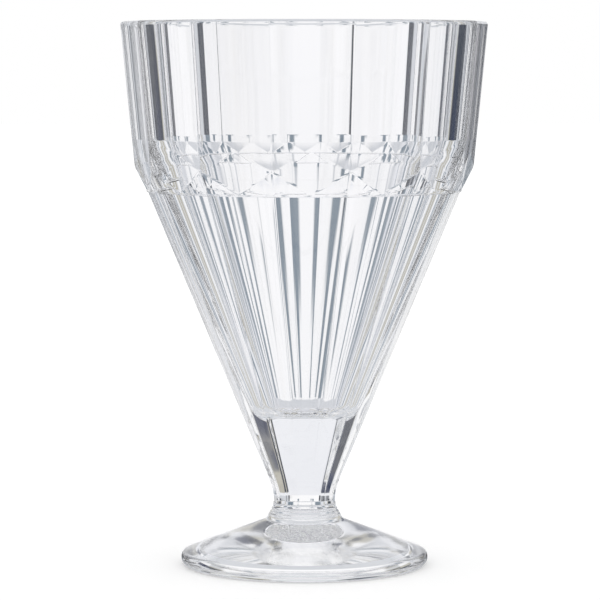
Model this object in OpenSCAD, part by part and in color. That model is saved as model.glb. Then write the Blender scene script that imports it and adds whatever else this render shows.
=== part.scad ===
// Faceted parfait glass: a pressed bowl on a faceted stem, a joining collar and a round foot.
// The glass stands on z = 0 with its axis on +Z, and the middle of one flat panel faces -Y.
// Radii of the faceted pieces are measured at the ridges between the panels.

/* [Facets] */
// Number of flat panels round the glass
panels = 14; // [10:2:18]

/* [Foot] */
// Diameter of the foot
foot_d = 66.2; // [56:0.1:76]
// Height of the foot at the seat of the collar
foot_h = 11.4; // [9.5:0.1:14]
// Thickness of the foot's rounded edge
foot_edge_h = 4; // [3:0.1:5]
// Width of the flat ring that the foot rests on
rest_ring_w = 3.4; // [2:0.1:6]
// Depth of the shallow hollow under the foot
hollow_h = 1.2; // [0.4:0.1:2]

/* [Collar] */
// Height of the collar that shows between stem and foot
collar_h = 4; // [3:0.1:6]
// Diameter of the collar where it meets the foot
collar_d = 24.6; // [23:0.1:28]
// Diameter of the collar's spigot in the foot
collar_spigot_d = 18; // [12:0.1:19]
// Length of the collar's spigot in the foot
collar_spigot_l = 6; // [3:0.1:7]
// Share of the flare's width that its curve draws in near the foot
flare_in = 0.55; // [0.4:0.05:0.8]
// Share of the flare's height that its curve has climbed there
flare_rise = 0.2; // [0:0.05:0.4]
// Number of fine rings round the collar's flare
collar_rings = 3; // [1:1:4]
// Radius of each fine ring
collar_ring_r = 0.4; // [0.2:0.05:0.5]

/* [Stem] */
// Height of the stem that shows between collar and bowl
stem_h = 18.6; // [12:0.1:30]
// Diameter of the stem across the ridges at its neck
neck_d = 16.4; // [14:0.1:16.6]
// Share of the stem's height over which the neck stays upright
neck_hold = 0.25; // [0.1:0.05:0.35]
// Share of the stem's height over which the slope of the bowl carries on
slope_hold = 0.6; // [0.4:0.05:0.65]
// Height of the round band at the foot of the stem
stem_band_h = 1.3; // [0.8:0.1:2]
// Diameter of the round band at the foot of the stem
stem_band_d = 16.8; // [16.6:0.1:20]
// Diameter of the two spigots on the stem's ends
stem_spigot_d = 9; // [6:0.1:11]
// Length of the two spigots on the stem's ends
stem_spigot_l = 2.4; // [1.5:0.1:3]

/* [Bowl] */
// Diameter across the ridges at the rim
rim_d = 97.8; // [93:0.1:106]
// Height of the upright band, from the peaks of the zigzag to the rim
band_h = 38.4; // [30:0.1:50]
// Diameter across the ridges at the peaks of the zigzag
shoulder_d = 90.4; // [87:0.1:92]
// Height of the zigzag, from the ledge to its peaks
zigzag_h = 6.6; // [5:0.1:9]
// Diameter of the ledge under the zigzag
ledge_d = 84.2; // [80:0.1:88]
// Thickness of the ledge's edge below the zigzag
ledge_t = 0.7; // [0.3:0.1:1.5]
// Width of the ledge over the ridges of the fluted cone
ledge_w = 0.4; // [0.2:0.1:1]
// Height of the kite-shaped notches above the peaks of the zigzag
kite_h = 4.6; // [3:0.1:8]
// Height of the fluted cone below the ledge
cone_h = 66; // [50:0.1:90]
// Diameter across the ridges where the bowl meets the stem
bowl_base_d = 28.2; // [22:0.1:36]

/* [Cavity] */
// Wall of the upright band at the middle of a panel
band_wall = 5.9; // [4.5:0.1:7]
// Height of the cavity's crease above the ledge, where its wall leaves the upright band
crease_h = 14.2; // [13:0.1:25]
// Radius of the crease
crease_r = 2; // [1:0.5:4]
// Height of the leaning wall below the crease, down to the bend into the cone
lean_h = 3.4; // [3.2:0.1:8]
// Angle that the leaning wall makes with the axis
lean_angle = 12.8; // [9:0.1:18]
// Length that the bend's curve takes up on either side
bend_reach = 2.8; // [1:0.1:3]
// Thickness of the bowl under the cavity
floor_t = 7.5; // [5:0.1:10]
// Diameter of the cavity's floor, measured to its sharp corner
floor_d = 18.6; // [14:0.1:22]
// Radius between the cavity's floor and its wall
floor_r = 5.5; // [2:0.1:8]
// Radius of the lip inside the rim
lip_r = 0.8; // [0.3:0.1:1.2]

/* [Fit] */
// Film of clear bond round and under each spigot
bond_gap = 0.1; // [0.05:0.01:0.2]

/* [Hidden] */
$fn = 96;

half_panel = 180 / panels;
flat_share = cos(half_panel);
first_ridge = -90 - half_panel;
cut_over = 1;
arc_steps = 10;

// Heights of the joints and of the bowl's features
collar_z = foot_h;
stem_z = collar_z + collar_h;
bowl_z = stem_z + stem_h;
ledge_z = bowl_z + cone_h;
valley_z = ledge_z + ledge_t;
peak_z = ledge_z + zigzag_h;
kite_z = peak_z + kite_h;
rim_z = peak_z + band_h;
floor_z = bowl_z + floor_t;
crease_z = ledge_z + crease_h;

// Slope of the fluted cone, which the top of the stem carries on
cone_d = ledge_d - 2 * ledge_w;
cone_slope = (cone_d - bowl_base_d) / 2 / cone_h;

// Radius of the upright band's ridges at a height
function band_ridge_r(z) = shoulder_d / 2 + (rim_d - shoulder_d) / 2 * (z - peak_z) / band_h;

// Points of an arc round a centre, from one angle to another
function arc(centre, r, from, to) =
    [for (i = [0 : arc_steps]) let (a = from + (to - from) * i / arc_steps)
        centre + r * [cos(a), sin(a)]];

// Points of a curve from a to d that leaves towards b and arrives from c
function curve(a, b, c, d) =
    [for (i = [0 : arc_steps]) let (t = i / arc_steps, s = 1 - t)
        s * s * s * a + 3 * s * s * t * b + 3 * s * t * t * c + t * t * t * d];

// Points that round the corner at b between the lines to a and c
function rounded(a, b, c, r) =
    let (
        u = (a - b) / norm(a - b),
        v = (c - b) / norm(c - b),
        half = acos(u * v) / 2,
        middle = b + (u + v) / norm(u + v) * r / sin(half),
        start = b + u * r / tan(half) - middle,
        end = b + v * r / tan(half) - middle,
        from = atan2(start[1], start[0]),
        turn = atan2(end[1], end[0]) - from
    )
    arc(middle, r, from, from + turn - 360 * round(turn / 360));

// Points that bend at b between the lines to a and c, within a reach on either side
function bent(a, b, c, reach) =
    let (
        u = (a - b) / norm(a - b),
        v = (c - b) / norm(c - b)
    )
    rounded(a, b, c, reach * tan(acos(u * v) / 2));

// One point at a step round the glass: even steps are ridges, odd steps the middles of panels
function round_point(step, r, z) =
    let (a = first_ridge + step * half_panel) [r * cos(a), r * sin(a), z];

function ridge_ring(r, z) = [for (i = [0 : panels - 1]) round_point(2 * i, r, z)];
function middle_ring(r, z) = [for (i = [0 : panels - 1]) round_point(2 * i + 1, r, z)];

// Flat-sided loft through stations of [ridge radius, height], from the bottom up
module faceted_loft(stations) {
    count = len(stations);
    points = [for (s = stations) each ridge_ring(s[0], s[1])];
    sides = [for (s = [0 : count - 2], i = [0 : panels - 1]) let (j = (i + 1) % panels)
        [s * panels + i, (s + 1) * panels + i, (s + 1) * panels + j, s * panels + j]];
    bottom = [for (i = [0 : panels - 1]) i];
    top = [for (i = [panels - 1 : -1 : 0]) (count - 1) * panels + i];
    polyhedron(points, concat(sides, [bottom, top]));
}

// Outside of the bowl: fluted cone, ledge, zigzag with its notches, and the upright band
module bowl_outside() {
    ledge_r = ledge_d / 2;
    points = concat(
        ridge_ring(bowl_base_d / 2, bowl_z),
        ridge_ring(cone_d / 2, ledge_z),
        ridge_ring(ledge_r, ledge_z),
        middle_ring(ledge_r, ledge_z),
        ridge_ring(ledge_r, valley_z),
        middle_ring(ledge_r, valley_z),
        ridge_ring(shoulder_d / 2, peak_z),
        middle_ring(flat_share * band_ridge_r(kite_z), kite_z),
        ridge_ring(rim_d / 2, rim_z)
    );
    base = 0;
    cone = panels;
    ledge_ridge = 2 * panels;
    ledge_middle = 3 * panels;
    edge_ridge = 4 * panels;
    valley = 5 * panels;
    peak = 6 * panels;
    kite = 7 * panels;
    rim = 8 * panels;
    panel_faces = [for (i = [0 : panels - 1]) let (j = (i + 1) % panels) each [
        [base + i, cone + i, cone + j, base + j],
        [cone + i, ledge_ridge + i, ledge_middle + i, ledge_ridge + j, cone + j],
        [ledge_ridge + i, edge_ridge + i, valley + i, ledge_middle + i],
        [ledge_middle + i, valley + i, edge_ridge + j, ledge_ridge + j],
        [edge_ridge + i, peak + i, valley + i],
        [valley + i, peak + j, edge_ridge + j],
        [valley + i, peak + i, kite + i],
        [valley + i, kite + i, peak + j],
        [peak + i, rim + i, rim + j, peak + j, kite + i]
    ]];
    bottom = [for (i = [0 : panels - 1]) base + i];
    top = [for (i = [panels - 1 : -1 : 0]) rim + i];
    polyhedron(points, concat(panel_faces, [bottom, top]));
}

// Space that the dessert fills, open at the rim
module cavity() {
    lip = [flat_share * rim_d / 2 - band_wall, rim_z];
    crease = [flat_share * band_ridge_r(crease_z) - band_wall, crease_z];
    bend = crease - lean_h * [tan(lean_angle), 1];
    corner = [floor_d / 2, floor_z];
    rotate_extrude()
        polygon(concat(
            [[0, floor_z]],
            rounded([0, floor_z], corner, bend, floor_r),
            bent(corner, bend, crease, bend_reach),
            rounded(bend, crease, lip, crease_r),
            arc(lip + [lip_r, -lip_r], lip_r, 180, 90),
            [[lip[0] + lip_r, rim_z + cut_over], [0, rim_z + cut_over]]
        ));
}

// Socket for a spigot, with its mouth at z = 0 and its depth towards +Z
module socket(spigot_d, spigot_l) {
    translate([0, 0, -cut_over])
        cylinder(d = spigot_d + 2 * bond_gap, h = spigot_l + bond_gap + cut_over);
}

module bowl() {
    color([0.88, 0.93, 0.95, 0.45])
        difference() {
            bowl_outside();
            cavity();
            translate([0, 0, bowl_z]) socket(stem_spigot_d, stem_spigot_l);
        }
}

module stem() {
    neck = [neck_d / 2, stem_z + stem_band_h];
    base = [bowl_base_d / 2, bowl_z];
    rise = base[1] - neck[1];
    sweep = curve(
        neck,
        neck + [0, neck_hold * rise],
        base - [cone_slope, 1] * slope_hold * rise,
        base
    );
    color([0.86, 0.92, 0.95, 0.5]) {
        faceted_loft(sweep);
        translate([0, 0, stem_z]) cylinder(d = stem_band_d, h = stem_band_h);
        translate([0, 0, stem_z - stem_spigot_l])
            cylinder(d = stem_spigot_d, h = stem_h + 2 * stem_spigot_l);
    }
}

module collar() {
    foot_edge = [collar_d / 2, collar_z];
    stem_edge = [stem_band_d / 2, stem_z];
    reach = stem_edge - foot_edge;
    handle = foot_edge + [flare_in * reach[0], flare_rise * reach[1]];
    flare = curve(foot_edge, handle, handle, stem_edge);
    color([0.84, 0.9, 0.94, 0.5])
        difference() {
            union() {
                rotate_extrude() {
                    polygon(concat([[0, collar_z]], flare, [[0, stem_z]]));
                    for (i = [0 : collar_rings - 1])
                        translate(flare[arc_steps - i] - [0, collar_ring_r]) circle(collar_ring_r);
                }
                translate([0, 0, collar_z - collar_spigot_l])
                    cylinder(d = collar_spigot_d, h = collar_spigot_l + collar_h / 2);
            }
            translate([0, 0, stem_z]) mirror([0, 0, 1]) socket(stem_spigot_d, stem_spigot_l);
        }
}

module foot() {
    edge_r = foot_edge_h / 2;
    edge = [foot_d / 2 - edge_r, edge_r];
    seat = [collar_d / 2, collar_z];
    reach = norm(seat - edge);
    edge_from = 90 + atan2(seat[1] - edge[1], seat[0] - edge[0]) - 180 + asin(edge_r / reach);
    hollow_edge = foot_d / 2 - edge_r - rest_ring_w;
    color([0.86, 0.91, 0.94, 0.5])
        difference() {
            rotate_extrude()
                polygon(concat(
                    [[0, 0]],
                    arc(edge, edge_r, -90, edge_from),
                    [seat, [0, collar_z]]
                ));
            translate([0, 0, collar_z]) mirror([0, 0, 1]) socket(collar_spigot_d, collar_spigot_l);
            translate([0, 0, -cut_over])
                cylinder(r1 = hollow_edge + cut_over, r2 = hollow_edge - hollow_h, h = hollow_h + cut_over);
        }
}

bowl();
stem();
collar();
foot();
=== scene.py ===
# %% [markdown]
# # A faceted parfait glass
# This lesson dresses a clear footed glass in Blender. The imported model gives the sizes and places,
# and every piece here is modelled again with bevelled facets, because glass shows its edges by
# bending light there. A sharp computer edge bends none and looks like paper.

import math

import bmesh
import bpy
from mathutils import Matrix, Vector


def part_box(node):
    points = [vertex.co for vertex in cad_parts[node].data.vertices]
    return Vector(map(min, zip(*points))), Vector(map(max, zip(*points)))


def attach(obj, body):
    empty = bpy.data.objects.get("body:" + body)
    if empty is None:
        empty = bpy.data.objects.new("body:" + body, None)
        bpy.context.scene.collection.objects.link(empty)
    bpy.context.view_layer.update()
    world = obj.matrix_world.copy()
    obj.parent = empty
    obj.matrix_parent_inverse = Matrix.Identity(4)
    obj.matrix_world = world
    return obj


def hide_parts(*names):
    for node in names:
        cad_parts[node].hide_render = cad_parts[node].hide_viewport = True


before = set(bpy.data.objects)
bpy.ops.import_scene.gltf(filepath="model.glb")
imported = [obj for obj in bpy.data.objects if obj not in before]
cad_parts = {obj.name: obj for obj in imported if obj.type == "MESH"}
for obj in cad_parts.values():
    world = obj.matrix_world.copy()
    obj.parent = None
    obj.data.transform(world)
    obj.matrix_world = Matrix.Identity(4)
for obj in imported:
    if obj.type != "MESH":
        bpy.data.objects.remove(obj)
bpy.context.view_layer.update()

# %% [markdown]
# ## Sizes
# The heights of the joints and the rim come from the boxes of the four solids. What a box can't say,
# such as the wall or the zigzag, is written once, in the cell that needs it first, in millimetres that
# MM turns into metres. FLAT_SHARE is the distance from the axis to a flat panel's middle, as a share of
# its ridges' radius.

# %% Heights and radii from the frame
MM = 0.001
PANELS = 14
HALF_PANEL = math.pi / PANELS
FLAT_SHARE = math.cos(HALF_PANEL)

bowl_low, bowl_high = (Vector(corner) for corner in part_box("bowl"))
stem_low, stem_high = (Vector(corner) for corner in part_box("stem"))
collar_low, collar_high = (Vector(corner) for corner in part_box("collar"))
foot_low, foot_high = (Vector(corner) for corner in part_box("foot"))

RIM_Z = bowl_high.z
BOWL_Z = bowl_low.z
STEM_Z = collar_high.z
COLLAR_Z = foot_high.z
RIM_R = bowl_high.x
BASE_R = stem_high.x
COLLAR_R = collar_high.x
FOOT_R = foot_high.x
print(f"rim {RIM_Z / MM:.1f} mm high, {2 * RIM_R / MM:.1f} mm wide; foot {2 * FOOT_R / MM:.1f} mm")

# %% Named sizes of the bowl
BAND_H = 38.4 * MM
SHOULDER_R = 45.2 * MM
ZIGZAG_H = 6.6 * MM
LEDGE_R = 42.1 * MM
LEDGE_W = 0.4 * MM
LEDGE_T = 0.7 * MM
KITE_H = 4.6 * MM

PEAK_Z = RIM_Z - BAND_H
LEDGE_Z = PEAK_Z - ZIGZAG_H
VALLEY_Z = LEDGE_Z + LEDGE_T
KITE_Z = PEAK_Z + KITE_H
CONE_R = LEDGE_R - LEDGE_W
CONE_SLOPE = (CONE_R - BASE_R) / (LEDGE_Z - BOWL_Z)


def band_ridge_r(z):
    """Radius of the upright band's ridges at a height."""
    return SHOULDER_R + (RIM_R - SHOULDER_R) * (z - PEAK_Z) / BAND_H


print(f"ledge at {LEDGE_Z / MM:.1f} mm, peaks at {PEAK_Z / MM:.1f} mm")

# %% [markdown]
# ## Tools of the workshop
# A few helpers serve all the pieces. The first ones draw the arcs, rounded corners and curves of an
# outline, and one turns an outline round the axis as a lathe or a mould does. The last makes the
# finished mesh an object that rides on the frame. Its weighted normals keep the flat panels flat
# while the narrow bevels between them bend smoothly.

# %% Outline helpers
ROUND_STEPS = 8
TURN_STEPS = 12 * PANELS
MERGE = 0.002 * MM


def arc(centre, r, start, end, steps=ROUND_STEPS):
    """Points of an arc in the outline plane, angles in degrees."""
    angles = [math.radians(start + (end - start) * i / steps) for i in range(steps + 1)]
    return [Vector((centre[0] + r * math.cos(a), centre[1] + r * math.sin(a))) for a in angles]


def rounded(before, corner, after, r, steps=ROUND_STEPS):
    """Points that round a corner between two straight runs."""
    b = Vector(corner)
    u = (Vector(before) - b).normalized()
    v = (Vector(after) - b).normalized()
    half = u.angle(v) / 2
    centre = b + (u + v).normalized() * r / math.sin(half)
    start = b + u * r / math.tan(half) - centre
    turn = start.angle_signed(b + v * r / math.tan(half) - centre)
    first = math.degrees(math.atan2(start.y, start.x))
    return arc(centre, r, first, first - math.degrees(turn), steps)


def curve(a, b, c, d, steps=ROUND_STEPS):
    """Points of a curve from a to d that leaves towards b and arrives from c."""
    points = []
    for i in range(steps + 1):
        t = i / steps
        s = 1 - t
        points.append(s**3 * a + 3 * s * s * t * b + 3 * s * t * t * c + t**3 * d)
    return points


def turn_outline(bm, outline, steps=TURN_STEPS):
    """Turns an outline of (radius, height) points once round the axis."""
    verts = [bm.verts.new((r, 0, z)) for r, z in outline]
    edges = [bm.edges.new(pair) for pair in zip(verts, verts[1:])]
    bmesh.ops.spin(
        bm, geom=verts + edges, cent=(0, 0, 0), axis=(0, 0, 1), dvec=(0, 0, 0),
        angle=2 * math.pi, steps=steps, use_merge=True,
    )
    bmesh.ops.remove_doubles(bm, verts=bm.verts[:], dist=MERGE)


print("a turned outline has", TURN_STEPS, "steps")

# %% Finish a piece
CLOSE = 0.01 * MM
SHARP_TURN = 32


def loop_at(bm, z):
    """Open boundary edges that lie at a height."""
    open_edges = [edge for edge in bm.edges if edge.is_boundary]
    return [edge for edge in open_edges if all(abs(v.co.z - z) < CLOSE for v in edge.verts)]


def finish_piece(bm, name, node, materials, pick_material):
    """Makes the mesh an object that rides on the frame in place of a CAD node."""
    bmesh.ops.recalc_face_normals(bm, faces=bm.faces[:])
    for face in bm.faces:
        face.smooth = True
        face.material_index = pick_material(face)
    for edge in bm.edges:
        joins_finishes = len({face.material_index for face in edge.link_faces}) > 1
        if joins_finishes or edge.calc_face_angle(0) > math.radians(SHARP_TURN):
            edge.smooth = False
    open_edges = sum(edge.is_boundary for edge in bm.edges)
    mesh = bpy.data.meshes.new(name)
    bm.to_mesh(mesh)
    bm.free()
    piece = bpy.data.objects.new(name, mesh)
    bpy.context.scene.collection.objects.link(piece)
    for material in materials:
        mesh.materials.append(material)
    weighted = piece.modifiers.new("flat panels", "WEIGHTED_NORMAL")
    weighted.mode = "FACE_AREA"
    weighted.weight = 100
    weighted.keep_sharp = True
    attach(piece, "root")
    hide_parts(node)
    print(f"{name}: {len(mesh.polygons)} faces, {open_edges} open edges")


print("edges stay sharp past", SHARP_TURN, "degrees")

# %% [markdown]
# ## Glass
# Pressed glass is clear and polished, but not perfect. The mould leaves a slow ripple on its faces,
# and the underside of the foot is left satin, with fine specks and a stippled disc in the middle. A
# picture could carry such marks, but noise and cells made by nodes stay sharp at any distance. One
# node group gives the ripple and the specks. Refraction and transmission stay plain numbers on the
# shader.

# %% Ripple and specks, shared by the finishes


def make_surface_group():
    """Node group with the slow ripple of a mould and sparse fine specks."""
    group = bpy.data.node_groups.new("pressed surface", "ShaderNodeTree")
    sockets = group.interface
    sockets.new_socket("Vector", in_out="INPUT", socket_type="NodeSocketVector")
    scale = sockets.new_socket("Ripple scale", in_out="INPUT", socket_type="NodeSocketFloat")
    scale.default_value = 60
    sockets.new_socket("Ripple", in_out="OUTPUT", socket_type="NodeSocketFloat")
    sockets.new_socket("Specks", in_out="OUTPUT", socket_type="NodeSocketFloat")
    nodes, links = group.nodes, group.links
    start = nodes.new("NodeGroupInput")
    end = nodes.new("NodeGroupOutput")
    ripple = nodes.new("ShaderNodeTexNoise")
    ripple.inputs["Detail"].default_value = 1
    links.new(start.outputs["Vector"], ripple.inputs["Vector"])
    links.new(start.outputs["Ripple scale"], ripple.inputs["Scale"])
    links.new(ripple.outputs["Fac"], end.inputs["Ripple"])
    specks = nodes.new("ShaderNodeTexVoronoi")
    specks.inputs["Scale"].default_value = 700
    dots = nodes.new("ShaderNodeMapRange")
    dots.inputs["From Min"].default_value = 0.10
    dots.inputs["From Max"].default_value = 0.02
    links.new(start.outputs["Vector"], specks.inputs["Vector"])
    links.new(specks.outputs["Distance"], dots.inputs["Value"])
    links.new(dots.outputs["Result"], end.inputs["Specks"])
    return group


surface_group = make_surface_group()
print("pressed surface:", len(surface_group.nodes), "nodes")

# %% What the finishes share


def new_finish(name):
    """Empty material with its shader, ready for nodes."""
    material = bpy.data.materials.new(name)
    material.use_nodes = True
    return material, material.node_tree.nodes, material.node_tree.links


def set_glass(shader):
    """Plain numbers of clear glass on a shader."""
    shader.inputs["Base Color"].default_value = (0.981, 0.980, 0.990, 1)
    shader.inputs["IOR"].default_value = 1.5
    shader.inputs["Transmission Weight"].default_value = 1
    shader.inputs["Roughness"].default_value = 0


def add_surface(nodes, links):
    """The shared ripple and specks, on object coordinates."""
    place = nodes.new("ShaderNodeTexCoord")
    surface = nodes.new("ShaderNodeGroup")
    surface.node_tree = surface_group
    links.new(place.outputs["Object"], surface.inputs["Vector"])
    return surface


def add_relief(nodes, links, height, strength, distance):
    """Bends the shader's normals along a height."""
    bump = nodes.new("ShaderNodeBump")
    bump.inputs["Strength"].default_value = strength
    bump.inputs["Distance"].default_value = distance
    links.new(height, bump.inputs["Height"])
    links.new(bump.outputs["Normal"], nodes["Principled BSDF"].inputs["Normal"])


# %% Clear glass and the invisible bond


def make_clear_glass():
    """Polished glass with the slow ripple."""
    material, nodes, links = new_finish("clear glass")
    set_glass(nodes["Principled BSDF"])
    surface = add_surface(nodes, links)
    add_relief(nodes, links, surface.outputs["Ripple"], strength=0.02, distance=0.2 * MM)
    return material


def make_bond_film():
    """Film at a joint, which lets light straight through."""
    material, nodes, _ = new_finish("clear bond")
    shader = nodes["Principled BSDF"]
    shader.inputs["Base Color"].default_value = (1, 1, 1, 1)
    shader.inputs["Alpha"].default_value = 0
    return material


clear_glass = make_clear_glass()
bond_film = make_bond_film()
print("finishes of all the pieces:", clear_glass.name, "and", bond_film.name)

# %% Satin and stippled glass


def make_satin_glass():
    """Softly blurred glass with fine specks."""
    material, nodes, links = new_finish("satin glass")
    shader = nodes["Principled BSDF"]
    set_glass(shader)
    shader.inputs["Roughness"].default_value = 0.1
    surface = add_surface(nodes, links)
    add_relief(nodes, links, surface.outputs["Specks"], strength=0.3, distance=0.1 * MM)
    return material


def make_stippled_glass():
    """Glass with a field of small pits, which let only half of the light through, with grey painted
    shade in each pit.
    """
    material, nodes, links = new_finish("stippled glass")
    shader = nodes["Principled BSDF"]
    set_glass(shader)
    shader.inputs["Roughness"].default_value = 0.12
    shader.inputs["Transmission Weight"].default_value = 0.5
    place = nodes.new("ShaderNodeTexCoord")
    pits = nodes.new("ShaderNodeTexVoronoi")
    pits.inputs["Scale"].default_value = 1400
    links.new(place.outputs["Object"], pits.inputs["Vector"])
    # Painted shade: the pits' grey colour, darkest in the middle of each pit, stands for their shade;
    # the pits' relief below is real.
    painted_pit_shade = nodes.new("ShaderNodeValToRGB")
    painted_pit_shade.color_ramp.elements[0].color = (0.42, 0.44, 0.50, 1)
    painted_pit_shade.color_ramp.elements[1].color = (0.95, 0.95, 0.97, 1)
    painted_pit_shade.color_ramp.elements[1].position = 0.6
    links.new(pits.outputs["Distance"], painted_pit_shade.inputs[0])
    links.new(painted_pit_shade.outputs["Color"], shader.inputs["Base Color"])
    add_relief(nodes, links, pits.outputs["Distance"], strength=0.8, distance=0.25 * MM)
    return material


stippled_glass = make_stippled_glass()
satin_glass = make_satin_glass()
# Places of the finishes in a piece's list of materials.
GLASS, BOND, STIPPLE, SATIN = range(4)
print("finishes of the foot:", stippled_glass.name, "and", satin_glass.name)

# %% [markdown]
# ## Bowl
# The bowl's outside repeats fourteen times, so one panel is drawn and turned round the axis. Most of
# its points lie on the two ridges. The kite-shaped notch above the zigzag is two triangles that meet
# in a crease on the middle line. A lathe couldn't make these flat faces, so a spin with copies does.

# %% Panel helpers
RIDGE_BEVEL = 0.4 * MM
BEVEL_STEPS = 3


def panel_point(bm, side, r, z):
    """Vertex on a ridge (side -1 or 1) or the middle line (side 0) of the panel that faces -Y."""
    a = -math.pi / 2 + HALF_PANEL * side
    return bm.verts.new((r * math.cos(a), r * math.sin(a), z))


def repeat_panel(bm):
    """Turns copies of the panel round the axis and merges their ridges."""
    panel = bm.verts[:] + bm.edges[:] + bm.faces[:]
    bmesh.ops.spin(
        bm, geom=panel, cent=(0, 0, 0), axis=(0, 0, 1), dvec=(0, 0, 0),
        angle=2 * math.pi * (PANELS - 1) / PANELS, steps=PANELS - 1, use_duplicate=True,
    )
    bmesh.ops.remove_doubles(bm, verts=bm.verts[:], dist=CLOSE)
    bmesh.ops.recalc_face_normals(bm, faces=bm.faces[:])


def bevel_ridges(bm, offset, least=4):
    """Rounds every outward edge that turns by more than a few degrees."""
    turned = [e for e in bm.edges if e.is_manifold and e.calc_face_angle() > math.radians(least)]
    ridges = [e for e in turned if e.is_convex]
    bmesh.ops.bevel(
        bm, geom=ridges, offset=offset, offset_type="OFFSET", affect="EDGES",
        segments=BEVEL_STEPS, profile=0.5, clamp_overlap=True, material=-1,
    )
    return len(ridges)


print(f"ridges are rounded by {RIDGE_BEVEL / MM:.1f} mm")

# %% One panel, repeated
LIP_R = 0.9 * MM
bowl = bmesh.new()
band_top_z = RIM_Z - LIP_R
band_top_r = band_ridge_r(band_top_z)
kite_r = FLAT_SHARE * band_ridge_r(KITE_Z)
base = {side: panel_point(bowl, side, BASE_R, BOWL_Z) for side in (-1, 1)}
cone = {side: panel_point(bowl, side, CONE_R, LEDGE_Z) for side in (-1, 1)}
ledge = {side: panel_point(bowl, side, LEDGE_R, LEDGE_Z) for side in (-1, 0, 1)}
valley = {side: panel_point(bowl, side, LEDGE_R, VALLEY_Z) for side in (-1, 0, 1)}
peak = {side: panel_point(bowl, side, SHOULDER_R, PEAK_Z) for side in (-1, 1)}
band = {side: panel_point(bowl, side, band_top_r, band_top_z) for side in (-1, 1)}
kite = panel_point(bowl, 0, kite_r, KITE_Z)
for corners in (
    (base[-1], base[1], cone[1], cone[-1]),
    (cone[-1], cone[1], ledge[1], ledge[0], ledge[-1]),
    (ledge[-1], ledge[0], valley[0], valley[-1]),
    (ledge[0], ledge[1], valley[1], valley[0]),
    (valley[-1], valley[0], peak[-1]),
    (valley[0], valley[1], peak[1]),
    (valley[0], kite, peak[-1]),
    (valley[0], peak[1], kite),
    (peak[-1], kite, peak[1], band[1], band[-1]),
):
    bowl.faces.new(corners)
repeat_panel(bowl)
print("ridges rounded:", bevel_ridges(bowl, RIDGE_BEVEL))

# %% [markdown]
# The rim is fire-polished, so its outer edge is drawn in along a quarter circle, ring by ring. A
# bevel would need the rim's flat top first, and here that top comes last.

# %% Fire-polished rim


def draw_in_rim(bm, edges, r, steps=5):
    """Extrudes the rim's loop up and in along a quarter circle."""
    low_z = edges[0].verts[0].co.z
    for i in range(1, steps + 1):
        turn = math.pi / 2 * i / steps
        inset = r * (math.cos(math.pi / 2 * (i - 1) / steps) - math.cos(turn))
        made = bmesh.ops.extrude_edge_only(bm, edges=edges)["geom"]
        edges = [g for g in made if isinstance(g, bmesh.types.BMEdge)]
        for v in {v for edge in edges for v in edge.verts}:
            v.co.z = low_z + r * math.sin(turn)
            v.co.xy *= 1 - inset / v.co.xy.length


draw_in_rim(bowl, loop_at(bowl, band_top_z), LIP_R)
print(f"rim drawn in by {LIP_R / MM:.1f} mm")

# %% [markdown]
# The plunger that presses the cavity is round and smooth, so the cavity is a turned outline: a flat
# floor with a round corner, a cone, a wide bend into a short wall that leans out, a crease, and the
# straight band up to the lip. A bridge across the rim then closes the mesh at the top.

# %% Round cavity
BAND_WALL = 5.9 * MM
CREASE_H = 14.2 * MM
CREASE_R = 2 * MM
LEAN_H = 3.4 * MM
LEAN_ANGLE = 12.8
BEND_R = 33.8 * MM
BEND_STEPS = 24
FLOOR_T = 7.5 * MM
FLOOR_R = 9.3 * MM
FLOOR_ROUND = 5.5 * MM
INNER_LIP_R = 0.8 * MM

floor_z = BOWL_Z + FLOOR_T
corner = (FLOOR_R, floor_z)
crease_z = LEDGE_Z + CREASE_H
crease = (FLAT_SHARE * band_ridge_r(crease_z) - BAND_WALL, crease_z)
bend = (crease[0] - LEAN_H * math.tan(math.radians(LEAN_ANGLE)), crease_z - LEAN_H)
lip = (FLAT_SHARE * RIM_R - BAND_WALL, RIM_Z)
cavity_outline = [Vector((0, floor_z))]
cavity_outline += rounded((0, floor_z), corner, bend, FLOOR_ROUND)
cavity_outline += rounded(corner, bend, crease, BEND_R, BEND_STEPS)
cavity_outline += rounded(bend, crease, lip, CREASE_R)
cavity_outline += arc((lip[0] + INNER_LIP_R, RIM_Z - INNER_LIP_R), INNER_LIP_R, 180, 90)
turn_outline(bowl, cavity_outline)
bmesh.ops.bridge_loops(bowl, edges=loop_at(bowl, RIM_Z))
print(f"cavity floor at {floor_z / MM:.1f} mm")

# %% [markdown]
# ## Joints
# The pieces are joined with clear bond, spigot in socket. Bond has the same refraction as glass, so
# light crosses the joint without bending. Each joint face therefore has a bond finish that lets light
# straight through, and the four closed pieces read as one run of glass.

# %% A joint face with its spigot or socket
SPIGOT_STEPS = 48
STEM_SPIGOT_R = 4.5 * MM
STEM_SPIGOT_L = 2.4 * MM
BOND_GAP = 0.1 * MM


def joint_face(bm, edges, r, z, reach):
    """Closes a loop with a flat face that has a round spigot or socket, which ends at z + reach."""
    circle = bmesh.ops.create_circle(bm, cap_ends=False, segments=SPIGOT_STEPS, radius=r,
                                     matrix=Matrix.Translation((0, 0, z)))["verts"]
    ring = list(dict.fromkeys(edge for v in circle for edge in v.link_edges))
    bmesh.ops.triangle_fill(bm, use_beauty=True, use_dissolve=False, edges=edges + ring)
    made = bmesh.ops.extrude_edge_only(bm, edges=ring)["geom"]
    moved = [g for g in made if isinstance(g, bmesh.types.BMVert)]
    bmesh.ops.translate(bm, verts=moved, vec=(0, 0, reach))
    end = [g for g in made if isinstance(g, bmesh.types.BMEdge)]
    bmesh.ops.edgeloop_fill(bm, edges=[e for e in end if e.is_boundary])


def bowl_finish(face):
    """Joint faces of the bowl lie at or just above its base, near the axis."""
    centre = face.calc_center_median()
    inside = centre.xy.length < STEM_SPIGOT_R + 2 * BOND_GAP
    return BOND if centre.z < BOWL_Z + CLOSE or (inside and centre.z < floor_z - CLOSE) else GLASS


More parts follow.
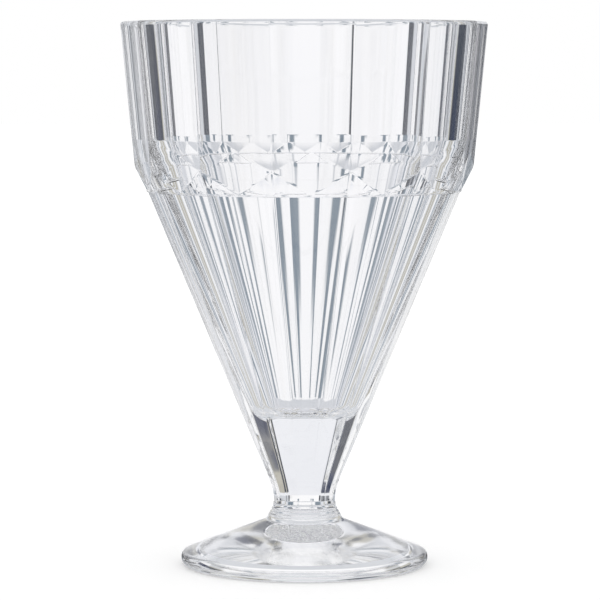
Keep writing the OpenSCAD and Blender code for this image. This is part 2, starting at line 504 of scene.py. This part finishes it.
joint_face(bowl, loop_at(bowl, BOWL_Z), STEM_SPIGOT_R + BOND_GAP, BOWL_Z, STEM_SPIGOT_L + BOND_GAP)
finish_piece(bowl, "faceted_bowl", "bowl", [clear_glass, bond_film], bowl_finish)

# %% [markdown]
# ## Stem
# The stem carries the fourteen ridges on and draws them in to a neck. A turned outline would lose the
# ridges, so a ring of fourteen points is extruded upwards and widened step by step along the sweep.
# Below it, the facets end on a round band.

# %% Faceted sweep
NECK_R = 8.2 * MM
NECK_HOLD = 0.25
SLOPE_HOLD = 0.6
BAND_R = 8.4 * MM
STEM_BAND_H = 1.3 * MM
BAND_EDGE = 0.25 * MM
SWEEP_STEPS = 24
STEM_LEAST_TURN = 15

stem = bmesh.new()
neck_point = Vector((NECK_R, STEM_Z + STEM_BAND_H))
base_point = Vector((BASE_R, BOWL_Z))
rise = base_point.y - neck_point.y
sweep = curve(
    neck_point, neck_point + Vector((0, NECK_HOLD * rise)),
    base_point - Vector((CONE_SLOPE, 1)) * SLOPE_HOLD * rise, base_point, steps=SWEEP_STEPS,
)
ring = [panel_point(stem, 2 * i + 1, NECK_R, neck_point.y) for i in range(PANELS)]
edges = [stem.edges.new(pair) for pair in zip(ring, ring[1:] + ring[:1])]
for low, high in zip(sweep, sweep[1:]):
    made = bmesh.ops.extrude_edge_only(stem, edges=edges)["geom"]
    verts = [g for g in made if isinstance(g, bmesh.types.BMVert)]
    edges = [g for g in made if isinstance(g, bmesh.types.BMEdge) and set(g.verts) <= set(verts)]
    bmesh.ops.scale(stem, verts=verts, vec=(high.x / low.x, high.x / low.x, 1))
    bmesh.ops.translate(stem, verts=verts, vec=(0, 0, high.y - low.y))
inward = [f for f in stem.faces if f.normal.xy.dot(f.calc_center_median().xy) < 0]
bmesh.ops.reverse_faces(stem, faces=inward)
print("stem ridges rounded:", bevel_ridges(stem, RIDGE_BEVEL, STEM_LEAST_TURN))

# %% Round band and joint faces
BAND_START = 0.02 * MM
band_outline = [Vector((NECK_R + BAND_START, neck_point.y))]
band_outline += arc((BAND_R - BAND_EDGE, neck_point.y - BAND_EDGE), BAND_EDGE, 90, 0, steps=4)
band_outline += [Vector((BAND_R, STEM_Z))]
turn_outline(stem, band_outline)
bmesh.ops.bridge_loops(stem, edges=loop_at(stem, neck_point.y))
joint_face(stem, loop_at(stem, STEM_Z), STEM_SPIGOT_R, STEM_Z, -STEM_SPIGOT_L)
joint_face(stem, loop_at(stem, BOWL_Z), STEM_SPIGOT_R, BOWL_Z, STEM_SPIGOT_L)


def stem_finish(face):
    """Joint faces of the stem are its two ends and their spigots."""
    z = face.calc_center_median().z
    return GLASS if STEM_Z + CLOSE < z < BOWL_Z - CLOSE else BOND


finish_piece(stem, "faceted_stem", "stem", [clear_glass, bond_film], stem_finish)

# %% [markdown]
# ## Collar
# The collar is a turned wafer between stem and foot. Its flare has three fine rings, and its wide
# spigot sits in the foot. Stacked cylinders could stand for it, but one turned outline holds the
# flare, the rings, the spigot and the stem's socket in a single closed mesh.

# %% Turned collar
COLLAR_SPIGOT_R = 9 * MM
COLLAR_SPIGOT_L = 6 * MM
FLARE_IN = 0.55
FLARE_RISE = 0.2
FLARE_STEPS = 10
RINGS = 3
RING_R = 0.4 * MM
RING_START = -35
RING_END = 65

collar = bmesh.new()
foot_edge = Vector((COLLAR_R, COLLAR_Z))
stem_edge = Vector((BAND_R, STEM_Z))
flare_run = stem_edge - foot_edge
handle = foot_edge + Vector((FLARE_IN * flare_run.x, FLARE_RISE * flare_run.y))
flare = curve(foot_edge, handle, handle, stem_edge, steps=FLARE_STEPS)
spigot_z = COLLAR_Z - COLLAR_SPIGOT_L
collar_outline = [Vector((0, spigot_z)), Vector((COLLAR_SPIGOT_R, spigot_z))]
collar_outline += [Vector((COLLAR_SPIGOT_R, COLLAR_Z))]
collar_outline += flare[:-RINGS]
for point in flare[-RINGS:]:
    collar_outline += arc((point.x, point.y - RING_R), RING_R, RING_START, RING_END, steps=6)
socket_r = STEM_SPIGOT_R + BOND_GAP
socket_z = STEM_Z - STEM_SPIGOT_L - BOND_GAP
collar_outline += [stem_edge, Vector((socket_r, STEM_Z))]
collar_outline += [Vector((socket_r, socket_z)), Vector((0, socket_z))]
turn_outline(collar, collar_outline)


def collar_finish(face):
    """Only the flare of the collar shows."""
    centre = face.calc_center_median()
    hidden = centre.z < COLLAR_Z + CLOSE or centre.z > STEM_Z - CLOSE
    return BOND if hidden or centre.xy.length < socket_r + CLOSE else GLASS


finish_piece(collar, "ringed_collar", "collar", [clear_glass, bond_film], collar_finish)

# %% [markdown]
# ## Foot
# The foot slopes from the collar to a thick rounded edge. A shallow hollow under it leaves a flat ring
# to stand on. The hollow is satin from the mould, and a stippled disc in its middle has a polished
# ring round it. All of it is round, so one turned outline makes the foot as well. The disc stands a
# little proud in the mesh itself, so that it catches light as a form.

# %% Turned foot
EDGE_R = 2 * MM
EDGE_STEPS = 20
REST_RING_W = 3.4 * MM
HOLLOW_H = 1.2 * MM
STIPPLE_R = 8.4 * MM
STIPPLE_H = 0.3 * MM
RING_W = 0.7 * MM

foot = bmesh.new()
edge_centre = Vector((FOOT_R - EDGE_R, EDGE_R))
slope = edge_centre - foot_edge
edge_end = 90 + math.degrees(math.atan2(slope.y, slope.x) + math.asin(EDGE_R / slope.length))
hollow_edge = FOOT_R - EDGE_R - REST_RING_W
foot_socket_z = COLLAR_Z - COLLAR_SPIGOT_L - BOND_GAP
foot_socket_r = COLLAR_SPIGOT_R + BOND_GAP
foot_outline = [Vector((0, foot_socket_z)), Vector((foot_socket_r, foot_socket_z))]
foot_outline += [Vector((foot_socket_r, COLLAR_Z)), foot_edge]
foot_outline += arc(edge_centre, EDGE_R, edge_end, -90, EDGE_STEPS)
foot_outline += [Vector((hollow_edge, 0)), Vector((hollow_edge - HOLLOW_H, HOLLOW_H))]
foot_outline += [Vector((STIPPLE_R + RING_W, HOLLOW_H)), Vector((STIPPLE_R + STIPPLE_H, HOLLOW_H))]
foot_outline += [Vector((STIPPLE_R, HOLLOW_H - STIPPLE_H)), Vector((0, HOLLOW_H - STIPPLE_H))]
turn_outline(foot, foot_outline)


def foot_finish(face):
    """Joint faces at the collar's seat and socket, stipple and satin under the foot, clear elsewhere."""
    centre = face.calc_center_median()
    seat = centre.z > COLLAR_Z - CLOSE
    socket = centre.xy.length < foot_socket_r + CLOSE and centre.z > foot_socket_z - CLOSE
    if seat or socket:
        return BOND
    if centre.z > HOLLOW_H + CLOSE or centre.xy.length > hollow_edge - HOLLOW_H:
        return GLASS
    if centre.xy.length < STIPPLE_R:
        return STIPPLE
    return SATIN if centre.xy.length > STIPPLE_R + RING_W else GLASS


foot_finishes = [clear_glass, bond_film, stippled_glass, satin_glass]
finish_piece(foot, "round_foot", "foot", foot_finishes, foot_finish)

# %% [markdown]
# ## Studio
# Clear glass shows only what stands round it. Photographers put a bright field behind it and dark
# cards beside that, and the glass bends the cards into its edges as dark lines. Here the world is that
# studio. The camera sees plain white, and rays that the glass bends or reflects see a white field on
# each of four sides, with cards on either side of it. The cards stand in tiers, because each part of
# the glass looks at its own height. The sides of the cone and the girdle show the grey table and the
# low cards. The blocks and the low edges under them become the tapered blue-grey bands of the cone.
# Cards stripe the upright band, a pale wall lights the foot, and rails and boards darken the sides of
# the stem. The ceiling is white.

# %% Colours of the cards
WHITE = (1, 1, 1, 1)
PEARL = (0.87, 0.88, 0.91, 1)
MIST = (0.76, 0.78, 0.82, 1)
PALE = (0.64, 0.66, 0.69, 1)
BEIGE = (0.48, 0.46, 0.39, 1)
BLUE_GREY = (0.20, 0.25, 0.30, 1)
SLATE = (0.045, 0.052, 0.07, 1)
NAVY = (0.035, 0.045, 0.09, 1)
FIELD_STEP = 90
FIELD_TURN = 2.3
print("the studio repeats every", FIELD_STEP, "degrees")

# %% Places of the cards, in degrees from the middle of a side


def both_sides(*stops):
    """Stops of the right half of a side, with their mirror image on the left."""
    return tuple((-degrees, color) for degrees, color in reversed(stops)) + stops


TABLE = both_sides(
    (14, PALE), (23, PEARL), (25.5, BLUE_GREY), (28.5, BLUE_GREY), (30, MIST),
    (33, WHITE), (37, MIST), (40, BEIGE), (43, BEIGE), (45, MIST),
)
LOW_CARDS = both_sides(
    (7.8, WHITE), (8.5, PALE), (9.1, PALE), (9.8, WHITE), (14.4, WHITE),
    (15.6, BLUE_GREY), (21, BLUE_GREY), (23, MIST), (26, MIST), (29, BEIGE),
    (31, MIST), (36, PEARL), (38.5, BEIGE), (40, SLATE), (45, SLATE),
)
LOW_EDGES = both_sides(
    (7, WHITE), (7.8, BLUE_GREY), (9.8, BLUE_GREY), (10.6, WHITE), (14.4, WHITE), (15.6, BLUE_GREY),
    (21, BLUE_GREY), (23, MIST), (27, MIST), (30, BEIGE), (32, SLATE), (45, NAVY),
)
BLOCKS = (
    (-45, SLATE), (-32, SLATE), (-30.5, PALE), (-24.5, PALE), (-23.5, SLATE), (-15.9, SLATE),
    (-15.3, WHITE), (-12.6, WHITE), (-11.4, BLUE_GREY), (-6.2, BLUE_GREY), (-4.6, WHITE),
    (4.6, WHITE), (6.2, BLUE_GREY), (11.4, BLUE_GREY), (12.6, WHITE), (14.4, WHITE),
    (15, SLATE), (20.3, SLATE), (21.5, PALE), (30.5, PALE), (32, SLATE), (45, SLATE),
)
CARDS = (
    (-45, PALE), (-40, PALE), (-38, SLATE), (-32, SLATE), (-30.5, PALE), (-24.5, PALE),
    (-23.5, SLATE), (-15.9, SLATE), (-15.3, WHITE),
    (13.6, WHITE), (14, SLATE), (20.3, SLATE), (21.5, PALE), (45, PALE),
)
WALL = ((0, PEARL),)
RAILS = (
    (-45, WHITE), (-40, WHITE), (-38, NAVY), (-26.5, NAVY), (-24.5, PALE), (-18, PEARL),
    (15.5, PEARL), (16.5, SLATE), (25, SLATE), (27, BEIGE), (35, BEIGE), (38, WHITE), (45, WHITE),
)
BOARDS = (
    (-45, PALE), (-39, BEIGE), (-36, SLATE), (-25, SLATE), (-23, PALE), (-17, PALE), (-15.5, PEARL),
    (16, PEARL), (18, PALE), (21, BEIGE), (28, BEIGE),
    (29.5, SLATE), (33.5, NAVY), (34.5, BEIGE), (42, PALE),
)
CEILING = ((0, WHITE),)
TIERS = (
    ((-12.5, -9.5), LOW_CARDS),
    ((-8.2, -7.2), LOW_EDGES),
    ((-5.6, -4.2), BLOCKS),
    ((-2.7, -2.2), CARDS),
    ((1.5, 3), WALL),
    ((6, 8), RAILS),
    ((23.6, 24.6), BOARDS),
    ((35, 41), CEILING),
)
print("tiers from", TIERS[0][0][0], "to", TIERS[-1][0][1], "degrees of elevation")

# %% Node helpers


def math_node(tree, operation, a, b=0, c=0):
    """Math node whose inputs are sockets or numbers."""
    node = tree.nodes.new("ShaderNodeMath")
    node.operation = operation
    for socket, value in zip(node.inputs, (a, b, c)):
        if isinstance(value, (int, float)):
            socket.default_value = value
        else:
            tree.links.new(value, socket)
    return node.outputs[0]


def soft_step(tree, value, edges):
    """Smooth step from 0 to 1 between two angles in degrees."""
    node = tree.nodes.new("ShaderNodeMapRange")
    node.interpolation_type = "SMOOTHSTEP"
    node.inputs["From Min"].default_value = math.radians(edges[0])
    node.inputs["From Max"].default_value = math.radians(edges[1])
    tree.links.new(value, node.inputs["Value"])
    return node.outputs["Result"]


def mix_colors(tree, factor, a, b):
    """Mix of two colours, each a socket or a plain colour."""
    node = tree.nodes.new("ShaderNodeMix")
    node.data_type = "RGBA"
    tree.links.new(factor, node.inputs["Factor"])
    for name, color in (("A", a), ("B", b)):
        if isinstance(color, tuple):
            node.inputs[name].default_value = color
        else:
            tree.links.new(color, node.inputs[name])
    return node.outputs["Result"]


# %% Colours across one side


def side_share(tree, azimuth):
    """Place across one side of the studio, from 0 to 1, repeated on all sides."""
    half = math.radians(FIELD_STEP / 2)
    turned = math_node(tree, "SUBTRACT", azimuth, math.radians(FIELD_TURN))
    folded = math_node(tree, "WRAP", turned, half, -half)
    return math_node(tree, "MULTIPLY_ADD", folded, 0.5 / half, 0.5)


def make_ramp(tree, share, stops):
    """Colours across one side, from stops of (degrees from its middle, colour)."""
    ramp = tree.nodes.new("ShaderNodeValToRGB")
    ramp.color_ramp.elements[0].color = stops[0][1]
    ramp.color_ramp.elements[-1].color = stops[-1][1]
    for degrees, color in stops:
        ramp.color_ramp.elements.new(0.5 + degrees / FIELD_STEP).color = color
    tree.links.new(share, ramp.inputs[0])
    return ramp.outputs["Color"]


# %% Table, tiers and ceiling in one world


def make_studio():
    """World with the tiers of cards, hidden from the camera."""
    world = bpy.data.worlds.new("studio")
    world.use_nodes = True
    tree = world.node_tree
    tree.nodes.clear()
    place = tree.nodes.new("ShaderNodeTexCoord")
    split = tree.nodes.new("ShaderNodeSeparateXYZ")
    tree.links.new(place.outputs["Generated"], split.inputs[0])
    azimuth = math_node(tree, "ARCTAN2", split.outputs["X"], split.outputs["Y"])
    elevation = math_node(tree, "ARCSINE", split.outputs["Z"])
    share = side_share(tree, azimuth)
    room = make_ramp(tree, share, TABLE)
    for edges, stops in TIERS:
        room = mix_colors(tree, soft_step(tree, elevation, edges), room, make_ramp(tree, share, stops))
    rays = tree.nodes.new("ShaderNodeLightPath")
    mirrored = rays.outputs["Is Glossy Ray"]
    bent = math_node(tree, "MAXIMUM", mirrored, rays.outputs["Is Transmission Ray"])
    background = tree.nodes.new("ShaderNodeBackground")
    tree.links.new(mix_colors(tree, bent, WHITE, room), background.inputs["Color"])
    output = tree.nodes.new("ShaderNodeOutputWorld")
    tree.links.new(background.outputs[0], output.inputs["Surface"])
    return world


bpy.context.scene.world = make_studio()
print("studio with", len(TIERS), "tiers on", 360 // FIELD_STEP, "sides")

# %% [markdown]
# The glass stands on a pale matt floor, which takes a faint shadow. The floor is hidden from bent and
# reflected rays, so the glass shows the table of the studio instead.

# %% Pale floor
FLOOR_SIZE = 12
FLOOR_DROP = 0.05 * MM


def make_floor():
    """Matt floor just under the glass, with a little light of its own."""
    material, nodes, _ = new_finish("pale floor")
    shader = nodes["Principled BSDF"]
    shader.inputs["Base Color"].default_value = (0.9, 0.9, 0.9, 1)
    shader.inputs["Roughness"].default_value = 1
    shader.inputs["Specular IOR Level"].default_value = 0
    shader.inputs["Emission Color"].default_value = (1, 1, 1, 1)
    shader.inputs["Emission Strength"].default_value = 0.2
    bm = bmesh.new()
    bmesh.ops.create_grid(bm, x_segments=1, y_segments=1, size=FLOOR_SIZE / 2)
    bmesh.ops.translate(bm, verts=bm.verts[:], vec=(0, 0, -FLOOR_DROP))
    mesh = bpy.data.meshes.new("floor")
    bm.to_mesh(mesh)
    bm.free()
    floor = bpy.data.objects.new("floor", mesh)
    bpy.context.scene.collection.objects.link(floor)
    mesh.materials.append(material)
    floor.visible_transmission = False
    floor.visible_glossy = False
    print(f"floor {FLOOR_SIZE} m wide")


make_floor()

# %% [markdown]
# ## Camera
# The eye is level with the bowl, a little under the rim, and about 0.8 m away. The foot is then seen
# from slightly above, as its open ellipse shows.

# %% Camera at the photograph's viewing angle
EYE_DISTANCE = 0.8327
EYE_Z = 0.134
EYE_TURN = math.radians(-2.3)
AIM_Z = 0.0709
AIM_SIDE = -1.2 * MM
PICTURE_PX = 600
FOCAL_PX = 3128
SENSOR_MM = 36

camera_data = bpy.data.cameras.new("camera")
camera_data.sensor_width = SENSOR_MM
camera_data.lens = SENSOR_MM * FOCAL_PX / PICTURE_PX
camera = bpy.data.objects.new("camera", camera_data)
bpy.context.scene.collection.objects.link(camera)
right = Vector((math.cos(EYE_TURN), math.sin(EYE_TURN), 0))
toward = Vector((-math.sin(EYE_TURN), math.cos(EYE_TURN), 0))
camera.location = -toward * EYE_DISTANCE + Vector((0, 0, EYE_Z))
aim = right * AIM_SIDE + Vector((0, 0, AIM_Z)) - camera.location
camera.rotation_euler = aim.to_track_quat("-Z", "Y").to_euler()
bpy.context.scene.camera = camera
print("camera at", [round(c, 4) for c in camera.location])

# %% Light paths and view
scene = bpy.context.scene
scene.view_settings.view_transform = "Standard"
scene.cycles.max_bounces = 32
scene.cycles.transmission_bounces = 32
scene.cycles.glossy_bounces = 16
scene.cycles.transparent_max_bounces = 32
print("light passes through up to", scene.cycles.transmission_bounces, "faces")
